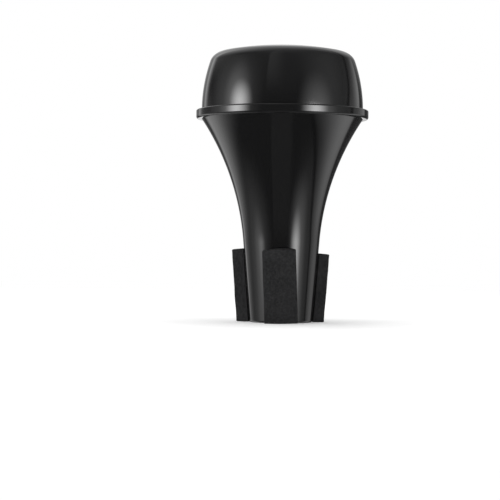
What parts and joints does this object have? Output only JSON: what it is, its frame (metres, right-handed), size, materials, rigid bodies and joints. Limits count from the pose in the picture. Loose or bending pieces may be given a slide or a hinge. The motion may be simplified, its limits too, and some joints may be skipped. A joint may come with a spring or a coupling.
{
  "type": "trumpet straight mute",
  "caption": "Straight mute for a trumpet bell: a glossy black flared plastic horn with a flange, closed by a domed cap, with foam grip pads round its narrow open end.",
  "frame": {"origin": "centre of the narrow rim's resting plane, at the bottom of the object", "axes": "+Z along the axis of revolution from the narrow rim to the cap's crown; -Y is the front, the side of the front pad"},
  "size_m": [0.08, 0.08, 0.1279],
  "materials": {
    "black_abs": "injection-moulded gloss black ABS, lightly polished, with faint handling marks",
    "eva_foam": "matte black closed-cell EVA foam with a fine open-cut cellular skin",
    "adhesive_film": "thin black pressure-sensitive transfer adhesive, matt",
    "solvent_cement": "cured black solvent cement, satin"
  },
  "bodies": {
    "root": {"horn_shell": "black_abs", "domed_cap": "black_abs", "cap_cement_ring": "solvent_cement", "front_pad": "eva_foam", "right_pad": "eva_foam", "left_pad": "eva_foam", "front_pad_film": "adhesive_film", "right_pad_film": "adhesive_film", "left_pad_film": "adhesive_film"}
  },
  "joints": []
}
